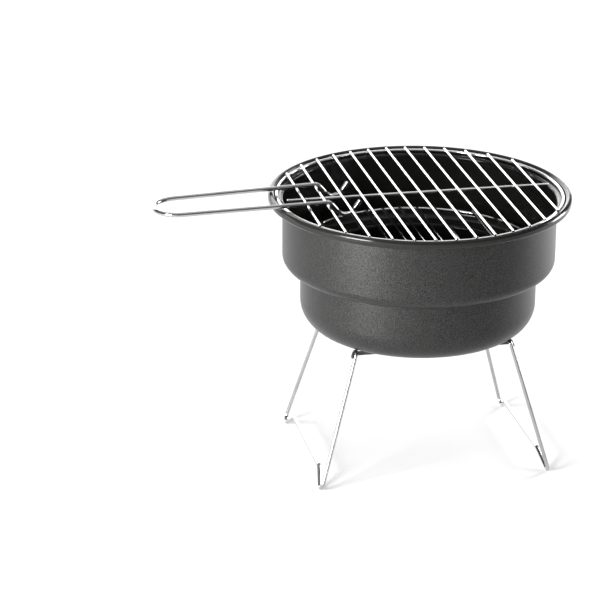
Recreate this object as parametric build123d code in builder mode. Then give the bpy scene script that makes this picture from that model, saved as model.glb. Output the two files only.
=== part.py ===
"""Portable tabletop charcoal grill: a round stepped bowl on two folding wire legs.

Frame: +Z up, origin on the ground under the centre of the bowl. The legs stand at +X and -X
and fold about axes along Y. The lifting handle points towards -X. Sizes are in millimetres.
"""

import os
from math import asin, atan2, cos, degrees, hypot, sin, sqrt

from build123d import *

os.makedirs("parts", exist_ok=True)

# Bowl: radii are to the middle of the sheet, heights are above the ground
sheet = 1.0
base_height = 124.0
boss_radius = 40.0
boss_drop = 0.8
boss_slope_width = 2.0
lower_radius = 106.0
lower_bend = 24.0
ledge_height = 181.7
ledge_bend = 3.0
upper_radius = 122.3
upper_bend = 9.4
flange_height = 244.3
flange_bend = 2.0
rim_outer_radius = 135.8
rim_top = 249.3
rim_bottom = 241.8
rim_roll = 2.25
rim_inner_bend = 1.8
rim_inner_radius = 130.7
rim_curl = 2.55

# Cooking grid
grid_height = 246.5
grid_radius = 128.0
grid_ring_wire = 1.5
grid_bar_wire = 1.1
grid_bar_count = 13
grid_bar_pitch = 17.75
grid_bar_overhang = 1.2
grid_cross_wire = 1.25
grid_cross_y = 3.7
grid_cross_half = 120.5
weld = 0.5

# Charcoal grate
grate_height = 195.6
grate_radius = 108.4
grate_ring_wire = 1.5
grate_bar_wire = 1.1
grate_bar_count = 12
grate_bar_pitch = 16.0
grate_bar_overhang = 1.5
grate_foot_angles = (25.0, 155.0, 205.0, 335.0)
grate_foot_top = 1.0
grate_foot_toe = 6.0
grate_foot_bend = 2.2
grate_foot_gap = 0.2

# Every straight wire's ends are rounded by this share of its radius
wire_end_rounding = 0.4

# Legs
leg_wire = 1.7
foot_x = 105.3
foot_y = 74.9
foot_bend = 6.0
leg_bar_rise = 12.6
leg_bar_half = 53.5
leg_bar_bend = 4.0
pivot_x = 70.5
pivot_y = 62.0
pivot_height = 122.6
hook_end_y = 56.9
hook_bend = 2.2

# Leg brackets
bracket_thickness = 1.2
bracket_inner_x = 47.0
bracket_outer_x = 58.0
ear_outside_y = 59.5
ear_round = 2.7
pin_clearance = 0.1
lip_start = 2.2
lip_end = 5.2
lip_depth = 2.4

# Rivets
rivet_x = 52.5
rivet_y = 30.0
rivet_radius = 2.0
rivet_head_radius = 4.0
rivet_head_flat = 2.4
rivet_head_height = 1.6

# Lifting handle: heights are above the grid ring's centre
handle_wire = 2.0
handle_end_x = 239.5
handle_end_half = 22.2
handle_shoulder_x = 88.0
handle_shoulder_half = 25.5
handle_shoulder_rise = 6.45
handle_slope = 0.03
handle_end_bend = 21.5
hook_depth = 5.2
hook_near_x = 77.9
hook_far_x = 68.6
hook_tip_x = 60.2
hook_tip_rise = 6.6
hook_round = 9.2
shoulder_bend = 6.5


def save(part, name):
    """Label a finished piece and write its STEP file."""
    part.label = name
    export_step(part, f"parts/{name}.step")


def save_pair(right_part, name):
    """Save a right-hand piece and its mirror image at -X."""
    save(right_part, f"right_{name}")
    save(mirror(right_part, about=Plane.YZ), f"left_{name}")


def sheet_skin(corners, side):
    """Corners and bend radii of one face of a bent sheet: side 1 is its right face, -1 its left."""
    step = side * sheet / 2
    points, radii = [], []
    for i, (r, z, bend) in enumerate(corners):
        before = corners[max(i - 1, 0)]
        here = (r, z)
        after = corners[min(i + 1, len(corners) - 1)]
        run_in = Vector(here[0] - before[0], here[1] - before[1])
        run_out = Vector(after[0] - here[0], after[1] - here[1])
        run_in = run_in if run_in.length > 0 else run_out
        run_out = run_out if run_out.length > 0 else run_in
        a, b = run_in.normalized(), run_out.normalized()
        mitre = step / (1 + a.dot(b))
        points.append((r + mitre * (a.Y + b.Y), z - mitre * (a.X + b.X)))
        turn = 1 if a.cross(b).Z > 0 else -1
        radii.append(max(bend + step * turn, 0))
    return points, radii[1:-1]


def bent_wire(points, bends, radius):
    """A round wire along straight runs, with one bend radius for all corners or one for each."""
    with BuildPart() as wire:
        with BuildLine() as route:
            FilletPolyline(*points, radius=bends)
        with BuildSketch(Plane(origin=route.line @ 0, z_dir=route.line % 0)):
            Circle(radius)
        sweep(path=route.line)
    return wire.part


def straight_wire(start, end, radius):
    """A straight round wire from start to end, with lightly rounded ends."""
    run = Vector(end) - Vector(start)
    with BuildPart() as wire:
        with BuildSketch(Plane(origin=start, z_dir=run)):
            Circle(radius)
        extrude(amount=run.length)
        fillet(wire.edges().filter_by(GeomType.CIRCLE), radius=radius * wire_end_rounding)
    return wire.part


def wire_ring(radius, height, wire_radius):
    """A closed ring of round wire around the bowl's axis."""
    with BuildPart() as ring:
        with BuildSketch(Plane.XZ):
            with Locations((radius, height)):
                Circle(wire_radius)
        revolve(axis=Axis.Z)
    return ring.part


# ---------------------------------------------------------------- bowl
rim_outer_middle = rim_outer_radius - sheet / 2
rim_top_middle = rim_top - sheet / 2
rim_bottom_middle = rim_bottom + sheet / 2
bowl_middle = [
    (0, base_height - boss_drop, 0),
    (boss_radius - boss_slope_width / 2, base_height - boss_drop, 0),
    (boss_radius + boss_slope_width / 2, base_height, 0),
    (lower_radius, base_height, lower_bend),
    (lower_radius, ledge_height, ledge_bend),
    (upper_radius, ledge_height, upper_bend),
    (upper_radius, flange_height, flange_bend),
    (rim_inner_radius, flange_height, rim_inner_bend),
    (rim_inner_radius, rim_top_middle, rim_roll),
    (rim_outer_middle, rim_top_middle, rim_roll),
    (rim_outer_middle, rim_bottom_middle, rim_roll),
    (rim_outer_middle - rim_curl, rim_bottom_middle, 0),
]
rivet_spots = [(rivet_x, rivet_y), (rivet_x, -rivet_y), (-rivet_x, rivet_y), (-rivet_x, -rivet_y)]

with BuildPart() as bowl:
    with BuildSketch(Plane.XZ):
        with BuildLine():
            outside_points, outside_radii = sheet_skin(bowl_middle, 1)
            inside_points, inside_radii = sheet_skin(bowl_middle, -1)
            outside = FilletPolyline(*outside_points, radius=outside_radii)
            inside = FilletPolyline(*inside_points, radius=inside_radii)
            Line(outside @ 0, inside @ 0)
            Line(outside @ 1, inside @ 1)
        make_face()
    revolve(axis=Axis.Z)
    with BuildSketch(Plane.XY.offset(base_height)):
        with Locations(*rivet_spots):
            Circle(rivet_radius)
    extrude(amount=sheet, both=True, mode=Mode.SUBTRACT)
save(bowl.part, "bowl")


# ---------------------------------------------------------------- leg brackets and their rivets
base_underside = base_height - sheet / 2
strip_bottom = base_underside - bracket_thickness
leg_lean = atan2(foot_x - pivot_x, pivot_height - leg_wire)
pivot = Vector(pivot_x, pivot_height)
arm_down = Vector(sin(leg_lean), -cos(leg_lean))
arm_out = Vector(cos(leg_lean), sin(leg_lean))
lip_inside = pivot + arm_out * (leg_wire + pin_clearance)
lip_outside = lip_inside + arm_out * bracket_thickness
ear_plane = Plane.XZ.offset(-ear_outside_y)

with BuildPart() as right_leg_bracket:
    # the ear, turned down at the strip's end, with a tail behind the arm
    with BuildSketch(ear_plane):
        with BuildLine():
            Polyline(
                (bracket_inner_x, base_underside),
                (pivot_x, base_underside),
                (pivot_x, pivot_height - ear_round),
                (bracket_inner_x, pivot_height - ear_round),
                close=True,
            )
        make_face()
        with Locations((pivot_x, pivot_height)):
            Circle(ear_round)
        with BuildLine():
            Polyline(
                pivot,
                lip_outside,
                lip_outside + arm_down * lip_end,
                pivot + arm_down * lip_end,
                close=True,
            )
        make_face()
    extrude(amount=bracket_thickness)
    # the lip that the open leg's arm rests against
    with BuildSketch(ear_plane):
        with BuildLine():
            Polyline(
                lip_inside + arm_down * lip_start,
                lip_outside + arm_down * lip_start,
                lip_outside + arm_down * lip_end,
                lip_inside + arm_down * lip_end,
                close=True,
            )
        make_face()
    extrude(amount=-lip_depth)
    with BuildSketch(ear_plane):
        with Locations((pivot_x, pivot_height)):
            Circle(leg_wire + pin_clearance)
    extrude(amount=bracket_thickness, mode=Mode.SUBTRACT)
    mirror(about=Plane.XZ)
    # the strip across the bowl's base
    with BuildSketch(Plane.XY.offset(strip_bottom)):
        with Locations(((bracket_inner_x + bracket_outer_x) / 2, 0)):
            Rectangle(bracket_outer_x - bracket_inner_x, 2 * ear_outside_y)
        with Locations((rivet_x, rivet_y), (rivet_x, -rivet_y)):
            Circle(rivet_radius, mode=Mode.SUBTRACT)
    extrude(amount=bracket_thickness)
save_pair(right_leg_bracket.part, "leg_bracket")

floor_top = base_height + sheet / 2
with BuildPart() as right_bracket_rivets:
    with BuildSketch(Plane.XZ.offset(-rivet_y)):
        with BuildLine():
            Polyline(
                (rivet_x, strip_bottom - rivet_head_height),
                (rivet_x + rivet_head_flat, strip_bottom - rivet_head_height),
                (rivet_x + rivet_head_radius, strip_bottom),
                (rivet_x + rivet_radius, strip_bottom),
                (rivet_x + rivet_radius, floor_top),
                (rivet_x + rivet_head_radius, floor_top),
                (rivet_x + rivet_head_flat, floor_top + rivet_head_height),
                (rivet_x, floor_top + rivet_head_height),
                close=True,
            )
        make_face()
    revolve(axis=Axis((rivet_x, rivet_y, 0), (0, 0, 1)))
    mirror(about=Plane.XZ)
save_pair(right_bracket_rivets.part, "bracket_rivets")


# ---------------------------------------------------------------- legs
leg_length = hypot(foot_x - pivot_x, pivot_height - leg_wire)
leg_plane = Plane(
    origin=(foot_x, 0, leg_wire),
    x_dir=(0, 1, 0),
    z_dir=(cos(leg_lean), 0, sin(leg_lean)),
)
foot_centre = Vector(foot_y, foot_bend)


def tangent_to_foot(point, side):
    """Direction from a point to the foot's arc; side is 1 for the arc's right flank, -1 for its left."""
    run = foot_centre - Vector(point)
    spread = degrees(asin(foot_bend / run.length))
    return run.normalized().rotate(Axis.Z, side * spread)


def meeting_point(point_a, way_a, point_b, way_b):
    """Where two straight runs in the leg's plane meet."""
    gap = point_b - point_a
    reach = (gap.X * way_b.Y - gap.Y * way_b.X) / (way_a.X * way_b.Y - way_a.Y * way_b.X)
    return point_a + way_a * reach


bar_corner = Vector(leg_bar_half, leg_bar_rise)
arm_top = Vector(pivot_y, leg_length)
riser_way = tangent_to_foot(bar_corner, -1)
arm_way = tangent_to_foot(arm_top, 1)
foot_corner = meeting_point(bar_corner, riser_way, arm_top, arm_way)
half_leg = [bar_corner, foot_corner, arm_top, Vector(hook_end_y, leg_length)]
half_bends = [leg_bar_bend, foot_bend, hook_bend]
whole_leg = [Vector(-p.X, p.Y) for p in reversed(half_leg)] + half_leg

right_leg = bent_wire(
    [leg_plane.from_local_coords(p) for p in whole_leg],
    list(reversed(half_bends)) + half_bends,
    leg_wire,
)
save_pair(right_leg, "leg")


# ---------------------------------------------------------------- cooking grid
def bars_on_ring(name, count, pitch, bar_radius, ring_radius, overhang, height):
    """Parallel bars along Y, welded on top of a ring, each cut to the ring's width there."""
    for i in range(count):
        x = pitch * (i - (count - 1) / 2)
        half = sqrt((ring_radius + overhang) ** 2 - x**2)
        bar = straight_wire((x, -half, height), (x, half, height), bar_radius)
        save(bar, f"{name}_{i + 1:02d}")


grid_bar_height = grid_height + grid_ring_wire + grid_bar_wire - weld
grid_cross_height = grid_bar_height - grid_bar_wire - grid_cross_wire + weld
save(wire_ring(grid_radius, grid_height, grid_ring_wire), "grid_ring")
bars_on_ring(
    "grid_bar",
    grid_bar_count,
    grid_bar_pitch,
    grid_bar_wire,
    grid_radius,
    grid_bar_overhang,
    grid_bar_height,
)
save(
    straight_wire(
        (-grid_cross_half, grid_cross_y, grid_cross_height),
        (grid_cross_half, grid_cross_y, grid_cross_height),
        grid_cross_wire,
    ),
    "grid_cross_bar",
)


# ---------------------------------------------------------------- charcoal grate
grate_bar_height = grate_height + grate_ring_wire + grate_bar_wire - weld
foot_radius = grate_radius + 2 * grate_ring_wire - weld
toe_height = ledge_height + sheet / 2 + grate_foot_gap + grate_ring_wire
save(wire_ring(grate_radius, grate_height, grate_ring_wire), "grate_ring")
bars_on_ring(
    "grate_bar",
    grate_bar_count,
    grate_bar_pitch,
    grate_bar_wire,
    grate_radius,
    grate_bar_overhang,
    grate_bar_height,
)
# each foot is welded to the outside of the ring and ends in a toe that lies along the ledge
for i, angle in enumerate(grate_foot_angles):
    route = [
        Vector(foot_radius, 0, grate_height + grate_foot_top),
        Vector(foot_radius, 0, toe_height),
        Vector(foot_radius, grate_foot_toe, toe_height),
    ]
    turned = [point.rotate(Axis.Z, angle) for point in route]
    save(bent_wire(turned, grate_foot_bend, grate_ring_wire), f"grate_foot_{i + 1}")


# ---------------------------------------------------------------- lifting handle
handle_end_rise = handle_shoulder_rise - handle_slope * (handle_end_x - handle_shoulder_x)
half_handle = [
    (-hook_tip_x, handle_shoulder_half, hook_tip_rise),
    (-hook_far_x, handle_shoulder_half, -hook_depth),
    (-hook_near_x, handle_shoulder_half, -hook_depth),
    (-handle_shoulder_x, handle_shoulder_half, handle_shoulder_rise),
    (-handle_end_x, handle_end_half, handle_end_rise),
]
handle_bends = [hook_round, hook_round, shoulder_bend, handle_end_bend]
whole_handle = half_handle + [(x, -y, z) for x, y, z in reversed(half_handle)]

lifting_handle = bent_wire(
    [(x, y, grid_height + z) for x, y, z in whole_handle],
    handle_bends + list(reversed(handle_bends)),
    handle_wire,
)
save(lifting_handle, "lifting_handle")
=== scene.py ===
"""Portable tabletop grill: materials, weld beads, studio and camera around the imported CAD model.

Everything is in metres in the CAD frame: +Z up, ground at Z = 0, the lifting handle towards -X.
"""

from math import cos, radians, sin, sqrt

import bmesh
import bpy
from mathutils import Matrix, Vector


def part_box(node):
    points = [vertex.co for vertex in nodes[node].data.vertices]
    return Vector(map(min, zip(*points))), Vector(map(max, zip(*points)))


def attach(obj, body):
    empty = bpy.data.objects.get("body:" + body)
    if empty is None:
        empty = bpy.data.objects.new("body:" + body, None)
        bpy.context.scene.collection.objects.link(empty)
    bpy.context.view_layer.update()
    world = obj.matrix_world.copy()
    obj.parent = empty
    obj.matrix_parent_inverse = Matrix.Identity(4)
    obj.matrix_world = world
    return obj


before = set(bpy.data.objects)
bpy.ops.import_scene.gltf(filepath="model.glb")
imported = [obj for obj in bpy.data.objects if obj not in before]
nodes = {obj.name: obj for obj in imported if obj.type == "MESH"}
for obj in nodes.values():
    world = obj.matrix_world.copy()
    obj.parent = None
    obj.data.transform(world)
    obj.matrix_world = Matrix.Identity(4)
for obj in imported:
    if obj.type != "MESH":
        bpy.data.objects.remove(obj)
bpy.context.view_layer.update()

MM = 0.001

# Camera, placed from the middle of the cooking grid's ring
CAMERA_AZIMUTH = -11.9
CAMERA_ELEVATION = 20.98
CAMERA_ROLL = 0.31
CAMERA_DISTANCE = 2.434
CAMERA_LENS = 163.4
GRID_RIGHT_OF_AXIS = 0.1070
GRID_ABOVE_AXIS = 0.0947

# The rolled rim is enamelled all round, over this much of the bowl's height from its top
RIM_ENAMEL_HEIGHT = 8.2 * MM

# Scale of the draw marks across a wire, and the roughness that they and the haze each add
MARKS_ACROSS = 2600
MARKS_ALONG = 60
MARKS_AROUND = 9.0
WIRE_HAZE = 0.06

# Base colours of the plating
CHROME = (0.80, 0.80, 0.81)
# The legs and the handle use a darker copy of the same chrome: painted shade, standing in for the dark
# reflections along these wires
PAINTED_SHADE_CHROME = (0.50, 0.50, 0.50)
GRATE_CHROME = (0.78, 0.78, 0.78)

# Weld beads: half lengths, and the share of the wires' radii that a bead stands wide and high
RING_BEAD_REACH = 2.3 * MM
RING_BEAD_WIDTH = 0.75
RING_BEAD_HEIGHT = 0.6
RING_BEAD_SINK = 0.25
CROSS_BEAD_SIZE = (1.9 * MM, 1.0 * MM, 0.6 * MM)
CROSS_BEAD_SINK = 0.2 * MM
BEAD_RIPPLE = 0.07


# ---------------------------------------------------------------- material helpers
class Shader:
    """A material's node tree, with short calls for the nodes that the finishes share."""

    def __init__(self, name, **sockets):
        self.material = bpy.data.materials.new(name)
        self.material.use_nodes = True
        self.tree = self.material.node_tree
        self.bsdf = self.tree.nodes["Principled BSDF"]
        for socket, value in sockets.items():
            self.bsdf.inputs[socket.replace("_", " ")].default_value = value

    def add(self, kind, **settings):
        node = self.tree.nodes.new(kind)
        for key, value in settings.items():
            setattr(node, key, value)
        return node

    def link(self, output, target):
        self.tree.links.new(output, target)

    def coordinates(self, scale=(1, 1, 1)):
        """Object coordinates, stretched by a scale for each axis."""
        place = self.add("ShaderNodeTexCoord")
        mapping = self.add("ShaderNodeMapping")
        mapping.inputs["Scale"].default_value = scale
        self.link(place.outputs["Object"], mapping.inputs["Vector"])
        return mapping.outputs["Vector"]

    def math(self, operation, a, b=0.0, clamp=False):
        node = self.add("ShaderNodeMath", operation=operation, use_clamp=clamp)
        for i, value in enumerate((a, b)):
            if isinstance(value, (int, float)):
                node.inputs[i].default_value = value
            else:
                self.link(value, node.inputs[i])
        return node.outputs[0]

    def noise(self, vector, scale, detail=3.0, roughness=0.55):
        node = self.add("ShaderNodeTexNoise")
        node.inputs["Scale"].default_value = scale
        node.inputs["Detail"].default_value = detail
        node.inputs["Roughness"].default_value = roughness
        self.link(vector, node.inputs["Vector"])
        return node.outputs["Fac"]

    def cells(self, vector, scale, smoothness=0.7):
        node = self.add("ShaderNodeTexVoronoi", feature="SMOOTH_F1")
        node.inputs["Scale"].default_value = scale
        node.inputs["Smoothness"].default_value = smoothness
        self.link(vector, node.inputs["Vector"])
        return node.outputs["Distance"]

    def spread(self, value, low, high, out_low, out_high):
        """Maps a value from low..high to out_low..out_high."""
        node = self.add("ShaderNodeMapRange")
        node.inputs["From Min"].default_value = low
        node.inputs["From Max"].default_value = high
        node.inputs["To Min"].default_value = out_low
        node.inputs["To Max"].default_value = out_high
        self.link(value, node.inputs["Value"])
        return node.outputs["Result"]

    def blend(self, factor, a, b):
        """A colour between a and b, each a colour or an output."""
        node = self.add("ShaderNodeMix", data_type="RGBA")
        self.link(factor, node.inputs["Factor"])
        for socket, value in (("A", a), ("B", b)):
            target = [s for s in node.inputs if s.name == socket and s.type == "RGBA"][0]
            if isinstance(value, (tuple, list)):
                target.default_value = (*value, 1)
            else:
                self.link(value, target)
        return [s for s in node.outputs if s.type == "RGBA"][0]

    def between(self, factor, a, b):
        """A number between a and b, each a number or an output."""
        node = self.add("ShaderNodeMix", data_type="FLOAT")
        self.link(factor, node.inputs["Factor"])
        for i, value in ((2, a), (3, b)):
            if isinstance(value, (int, float)):
                node.inputs[i].default_value = value
            else:
                self.link(value, node.inputs[i])
        return node.outputs[0]

    def bump(self, height, strength, distance, below=None):
        node = self.add("ShaderNodeBump")
        node.inputs["Strength"].default_value = strength
        node.inputs["Distance"].default_value = distance
        self.link(height, node.inputs["Height"])
        if below is not None:
            self.link(below, node.inputs["Normal"])
        return node.outputs["Normal"]


def hammered_paint():
    """Dark grey hammered paint outside; smooth black enamel inside and over the rolled rim."""
    paint = Shader("hammered_grey_paint", Specular_IOR_Level=0.3)
    where = paint.coordinates()

    # the enamel covers what faces the bowl's axis or faces up, and the whole of the rim
    geometry = paint.add("ShaderNodeNewGeometry")
    facing = paint.add("ShaderNodeSeparateXYZ")
    place = paint.add("ShaderNodeSeparateXYZ")
    paint.link(geometry.outputs["Normal"], facing.inputs[0])
    paint.link(where, place.inputs[0])
    outward = paint.math(
        "ADD",
        paint.math("MULTIPLY", facing.outputs["X"], place.outputs["X"]),
        paint.math("MULTIPLY", facing.outputs["Y"], place.outputs["Y"]),
    )
    faces_axis = paint.math("LESS_THAN", outward, -0.02)
    faces_up = paint.math("GREATER_THAN", facing.outputs["Z"], 0.35)
    rim_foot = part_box("bowl")[1].z - RIM_ENAMEL_HEIGHT
    rim_band = paint.math("GREATER_THAN", place.outputs["Z"], rim_foot)
    inside = paint.math("MAXIMUM", paint.math("MAXIMUM", faces_axis, faces_up), rim_band)

    flakes = paint.noise(where, 1500, 2.0)
    pools = paint.cells(where, 620)
    drift = paint.noise(where, 14, 3.0)
    outside_colour = paint.blend(
        paint.spread(flakes, 0.38, 0.66, 0, 1), (0.008, 0.0082, 0.008), (0.058, 0.0585, 0.057)
    )
    outside_colour = paint.blend(
        paint.spread(drift, 0.35, 0.65, 0, 0.25), outside_colour, (0.024, 0.0243, 0.0237)
    )
    inside_colour = paint.blend(
        paint.spread(drift, 0.3, 0.7, 0, 1), (0.010, 0.010, 0.009), (0.014, 0.014, 0.0125)
    )
    paint.link(paint.blend(inside, outside_colour, inside_colour), paint.bsdf.inputs["Base Color"])
    paint.link(paint.between(inside, 0.45, 0.0), paint.bsdf.inputs["Metallic"])
    outside_roughness = paint.spread(flakes, 0.3, 0.7, 0.30, 0.40)
    inside_roughness = paint.spread(drift, 0.3, 0.7, 0.12, 0.20)
    paint.link(
        paint.between(inside, outside_roughness, inside_roughness), paint.bsdf.inputs["Roughness"]
    )
    relief = paint.between(inside, paint.math("ADD", pools, flakes), paint.noise(where, 180, 1.0))
    paint.link(paint.bump(relief, 0.45, 0.12 * MM), paint.bsdf.inputs["Normal"])
    return paint.material


def drawn_wire(name, along, colour, roughness):
    """Bright plated wire with faint draw marks. along is the scale of the marks on each axis."""
    wire = Shader(name, Metallic=1.0)
    where = wire.coordinates()
    marks = wire.noise(wire.coordinates(along), 1.0, 4.0, 0.6)
    cloud = wire.noise(where, 70, 3.0)
    specks = wire.noise(where, 900, 1.0)
    dull = tuple(0.72 * c for c in colour)
    tint = wire.blend(wire.spread(cloud, 0.35, 0.75, 0, 0.5), colour, dull)
    tint = wire.blend(wire.spread(specks, 0.70, 0.78, 0, 0.6), tint, (0.25, 0.24, 0.22))
    wire.link(tint, wire.bsdf.inputs["Base Color"])
    rough = wire.math(
        "ADD",
        wire.spread(cloud, 0.3, 0.7, roughness, roughness + WIRE_HAZE),
        wire.spread(marks, 0.4, 0.7, 0, WIRE_HAZE),
    )
    wire.link(rough, wire.bsdf.inputs["Roughness"])
    wire.link(wire.bump(marks, 0.12, 0.03 * MM), wire.bsdf.inputs["Normal"])
    return wire.material


def drawn_ring(name, colour, roughness):
    """Bright plated wire bent to a ring round the Z axis, with draw marks that follow it."""
    wire = Shader(name, Metallic=1.0)
    where = wire.coordinates()
    place = wire.add("ShaderNodeSeparateXYZ")
    wire.link(where, place.inputs[0])
    angle = wire.math("ARCTAN2", place.outputs["Y"], place.outputs["X"])
    radius = wire.math(
        "SQRT",
        wire.math(
            "ADD",
            wire.math("MULTIPLY", place.outputs["X"], place.outputs["X"]),
            wire.math("MULTIPLY", place.outputs["Y"], place.outputs["Y"]),
        ),
    )
    unrolled = wire.add("ShaderNodeCombineXYZ")
    wire.link(wire.math("MULTIPLY", radius, MARKS_ACROSS), unrolled.inputs["X"])
    wire.link(wire.math("MULTIPLY", angle, MARKS_AROUND), unrolled.inputs["Y"])
    wire.link(wire.math("MULTIPLY", place.outputs["Z"], MARKS_ACROSS), unrolled.inputs["Z"])
    marks = wire.noise(unrolled.outputs[0], 1.0, 4.0, 0.6)
    cloud = wire.noise(where, 70, 3.0)
    dull = tuple(0.72 * c for c in colour)
    tint = wire.blend(wire.spread(cloud, 0.35, 0.75, 0, 0.5), colour, dull)
    wire.link(tint, wire.bsdf.inputs["Base Color"])
    rough = wire.math(
        "ADD",
        wire.spread(cloud, 0.3, 0.7, roughness, roughness + WIRE_HAZE),
        wire.spread(marks, 0.4, 0.7, 0, WIRE_HAZE),
    )
    wire.link(rough, wire.bsdf.inputs["Roughness"])
    wire.link(wire.bump(marks, 0.12, 0.03 * MM), wire.bsdf.inputs["Normal"])
    return wire.material


def bracket_paint():
    """Black satin paint on pressed strip, with scattered patches rubbed a little lighter."""
    paint = Shader("bracket_black_paint")
    where = paint.coordinates()
    grain = paint.noise(where, 1100, 2.0)
    wear = paint.noise(where, 160, 4.0, 0.7)
    grains = paint.spread(grain, 0.35, 0.65, 0, 1)
    colour = paint.blend(grains, (0.020, 0.020, 0.019), (0.034, 0.034, 0.033))
    colour = paint.blend(paint.spread(wear, 0.66, 0.74, 0, 0.7), colour, (0.16, 0.155, 0.15))
    paint.link(colour, paint.bsdf.inputs["Base Color"])
    paint.link(paint.spread(wear, 0.3, 0.75, 0.52, 0.34), paint.bsdf.inputs["Roughness"])
    paint.link(paint.bump(grain, 0.25, 0.06 * MM), paint.bsdf.inputs["Normal"])
    return paint.material


def rivet_steel():
    """Zinc-plated rivet steel, slightly mottled."""
    steel = Shader("rivet_zinc", Metallic=1.0)
    where = steel.coordinates()
    mottle = steel.noise(where, 420, 4.0, 0.65)
    colour = steel.blend(steel.spread(mottle, 0.35, 0.65, 0, 1), (0.42, 0.42, 0.43), (0.58, 0.58, 0.58))
    steel.link(colour, steel.bsdf.inputs["Base Color"])
    steel.link(steel.spread(mottle, 0.3, 0.7, 0.28, 0.44), steel.bsdf.inputs["Roughness"])
    steel.link(steel.bump(mottle, 0.2, 0.08 * MM), steel.bsdf.inputs["Normal"])
    return steel.material


def weld_metal(name, colour):
    """Plated weld bead: rippled and duller than the wire beside it."""
    bead = Shader(name, Metallic=1.0)
    where = bead.coordinates()
    ripples = bead.noise(where, 1300, 3.0, 0.6)
    heat = bead.noise(where, 300, 2.0)
    tint = bead.blend(bead.spread(heat, 0.35, 0.7, 0, 1), colour, tuple(0.6 * c for c in colour))
    bead.link(tint, bead.bsdf.inputs["Base Color"])
    bead.link(bead.spread(ripples, 0.3, 0.7, 0.16, 0.34), bead.bsdf.inputs["Roughness"])
    bead.link(bead.bump(ripples, 0.35, 0.12 * MM), bead.bsdf.inputs["Normal"])
    return bead.material


ALONG_X = (MARKS_ALONG, MARKS_ACROSS, MARKS_ACROSS)
ALONG_Y = (MARKS_ACROSS, MARKS_ALONG, MARKS_ACROSS)
ALONG_Z = (MARKS_ACROSS, MARKS_ACROSS, MARKS_ALONG)
finishes = {
    "bowl": hammered_paint(),
    "bracket": bracket_paint(),
    "rivet": rivet_steel(),
    "leg": drawn_wire("leg_chrome", ALONG_Z, PAINTED_SHADE_CHROME, 0.05),
    "handle": drawn_wire("handle_chrome", ALONG_X, PAINTED_SHADE_CHROME, 0.05),
    "grid_bar": drawn_wire("grid_bar_chrome", ALONG_Y, CHROME, 0.08),
    "grid_cross": drawn_wire("grid_cross_chrome", ALONG_X, CHROME, 0.08),
    "grid_ring": drawn_ring("grid_ring_chrome", CHROME, 0.08),
    "grid_weld": weld_metal("grid_weld_chrome", CHROME),
    "grate_bar": drawn_wire("grate_bar_chrome", ALONG_Y, GRATE_CHROME, 0.08),
    "grate_foot": drawn_wire("grate_foot_chrome", ALONG_Z, GRATE_CHROME, 0.08),
    "grate_ring": drawn_ring("grate_ring_chrome", GRATE_CHROME, 0.08),
    "grate_weld": weld_metal("grate_weld_chrome", GRATE_CHROME),
}
node_finish = {
    "bowl": "bowl",
    "left_leg_bracket": "bracket",
    "right_leg_bracket": "bracket",
    "left_bracket_rivets": "rivet",
    "right_bracket_rivets": "rivet",
    "left_leg": "leg",
    "right_leg": "leg",
    "lifting_handle": "handle",
    "grid_ring": "grid_ring",
    "grid_cross_bar": "grid_cross",
    "grate_ring": "grate_ring",
}


def finish_of(node):
    """The finish of a CAD node: its own, or that of the row of bars it belongs to."""
    return finishes[node_finish.get(node) or node.rsplit("_", 1)[0]]


for name, obj in nodes.items():
    obj.data.materials.clear()
    obj.data.materials.append(finish_of(name))


# ---------------------------------------------------------------- weld beads
def bar_of(node):
    """Place along X and radius of a straight bar along Y."""
    low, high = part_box(node)
    return (low.x + high.x) / 2, (high.x - low.x) / 2


def bead(mesh, place, along, size):
    """A flattened, slightly uneven bead of weld metal at place, longest along one way."""
    ball = bmesh.ops.create_uvsphere(mesh, u_segments=12, v_segments=6, radius=1.0)
    along = along.normalized()
    across = Vector((0, 0, 1)).cross(along)
    for i, vertex in enumerate(ball["verts"]):
        ripple = 1 + BEAD_RIPPLE * sin(5.0 * i + 900 * place.x + 700 * place.y)
        x, y, z = vertex.co * ripple
        vertex.co = place + along * x * size[0] + across * y * size[1] + Vector((0, 0, z * size[2]))


def bead_piece(name, beads, finish, body):
    """One piece holding all the weld beads of a body."""
    mesh = bmesh.new()
    for place, along, size in beads:
        bead(mesh, place, along, size)
    data = bpy.data.meshes.new(name)
    mesh.to_mesh(data)
    mesh.free()
    data.shade_smooth()
    data.materials.append(finishes[finish])
    piece = bpy.data.objects.new(name, data)
    bpy.context.scene.collection.objects.link(piece)
    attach(piece, body)


def ring_beads(ring, bars):
    """A bead at each end of every bar, where it crosses the ring, lying along the ring."""
    low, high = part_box(ring)
    wire = (high.z - low.z) / 2
    ring_radius = (high.x - low.x) / 2 - wire
    beads = []
    for node in bars:
        x, radius = bar_of(node)
        size = (RING_BEAD_REACH, RING_BEAD_WIDTH * wire, RING_BEAD_HEIGHT * radius)
        for end in (-1, 1):
            y = end * sqrt(ring_radius**2 - x**2)
            place = Vector((x, y, high.z - RING_BEAD_SINK * radius))
            beads.append((place, Vector((-y, x, 0)), size))
    return beads


def cross_beads(cross, bars):
    """A bead at each bar, where it crosses the cross bar, lying along the cross bar."""
    low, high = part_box(cross)
    y, z = (low.y + high.y) / 2, high.z - CROSS_BEAD_SINK
    return [(Vector((bar_of(node)[0], y, z)), Vector((1, 0, 0)), CROSS_BEAD_SIZE) for node in bars]


grid_bars = sorted(name for name in nodes if name.startswith("grid_bar_"))
grate_bars = sorted(name for name in nodes if name.startswith("grate_bar_"))
grid_beads = ring_beads("grid_ring", grid_bars) + cross_beads("grid_cross_bar", grid_bars)
grate_beads = ring_beads("grate_ring", grate_bars)
bead_piece("grid_welds", grid_beads, "grid_weld", "cooking_grid")
bead_piece("grate_welds", grate_beads, "grate_weld", "charcoal_grate")


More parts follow.
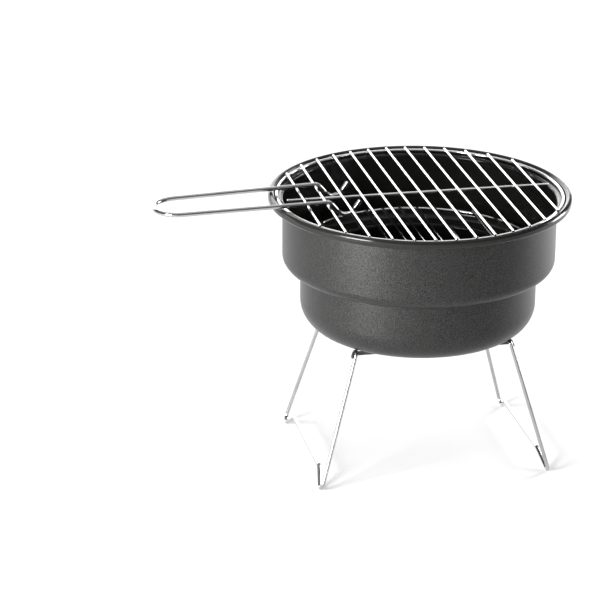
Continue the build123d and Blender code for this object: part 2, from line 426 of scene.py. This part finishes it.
# ---------------------------------------------------------------- studio
def plain_material(name, colour, roughness):
    material = bpy.data.materials.new(name)
    material.use_nodes = True
    bsdf = material.node_tree.nodes["Principled BSDF"]
    bsdf.inputs["Base Color"].default_value = (*colour, 1)
    bsdf.inputs["Roughness"].default_value = roughness
    return material


def floor():
    """A plain pale floor."""
    size = 14.0
    mesh = bpy.data.meshes.new("studio_floor")
    corners = [(-size, -size, 0), (size, -size, 0), (size, size, 0), (-size, size, 0)]
    mesh.from_pydata(corners, [], [(0, 1, 2, 3)])
    obj = bpy.data.objects.new("studio_floor", mesh)
    bpy.context.scene.collection.objects.link(obj)
    mesh.materials.append(plain_material("pale_floor", (0.86, 0.86, 0.86), 0.9))


def soft_light(name, place, aim, width, height, power):
    """A rectangular soft light at place, facing aim."""
    data = bpy.data.lights.new(name, "AREA")
    data.shape = "RECTANGLE"
    data.size, data.size_y = width, height
    data.energy = power
    obj = bpy.data.objects.new(name, data)
    obj.location = place
    obj.rotation_mode = "QUATERNION"
    obj.rotation_quaternion = (Vector(aim) - Vector(place)).to_track_quat("-Z", "Y")
    bpy.context.scene.collection.objects.link(obj)


def studio():
    world = bpy.data.worlds.new("studio")
    bpy.context.scene.world = world
    world.use_nodes = True
    background = world.node_tree.nodes["Background"]
    background.inputs["Color"].default_value = (0.92, 0.92, 0.92, 1)
    background.inputs["Strength"].default_value = 0.24
    middle = (0, 0, 0.18)
    soft_light("top_light", (0.0, 0.3, 1.9), middle, 2.2, 2.2, 11)
    soft_light("left_light", (-1.7, -1.0, 0.50), middle, 0.7, 1.0, 95)
    soft_light("right_back_light", (1.6, 0.5, 0.45), middle, 0.6, 1.0, 34)
    soft_light("back_light", (0.0, 3.0, 0.95), middle, 4.2, 1.7, 75)
    bpy.context.scene.view_settings.view_transform = "Standard"


def camera():
    """The camera, aimed below and to the left of the cooking grid."""
    low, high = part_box("grid_ring")
    centre = (low + high) / 2
    a, e, roll = radians(CAMERA_AZIMUTH), radians(CAMERA_ELEVATION), radians(CAMERA_ROLL)
    back = Vector((sin(a) * cos(e), -cos(a) * cos(e), sin(e)))
    level = Vector((cos(a), sin(a), 0))
    upright = back.cross(level)
    right = cos(roll) * level + sin(roll) * upright
    up = cos(roll) * upright - sin(roll) * level
    data = bpy.data.cameras.new("camera")
    data.lens = CAMERA_LENS
    data.sensor_width = 36.0
    data.clip_start, data.clip_end = 0.05, 60.0
    obj = bpy.data.objects.new("camera", data)
    bpy.context.scene.collection.objects.link(obj)
    obj.rotation_mode = "QUATERNION"
    obj.rotation_quaternion = Matrix((right, up, back)).transposed().to_quaternion()
    obj.location = centre - right * GRID_RIGHT_OF_AXIS - up * GRID_ABOVE_AXIS + back * CAMERA_DISTANCE
    bpy.context.scene.camera = obj


floor()
studio()
camera()
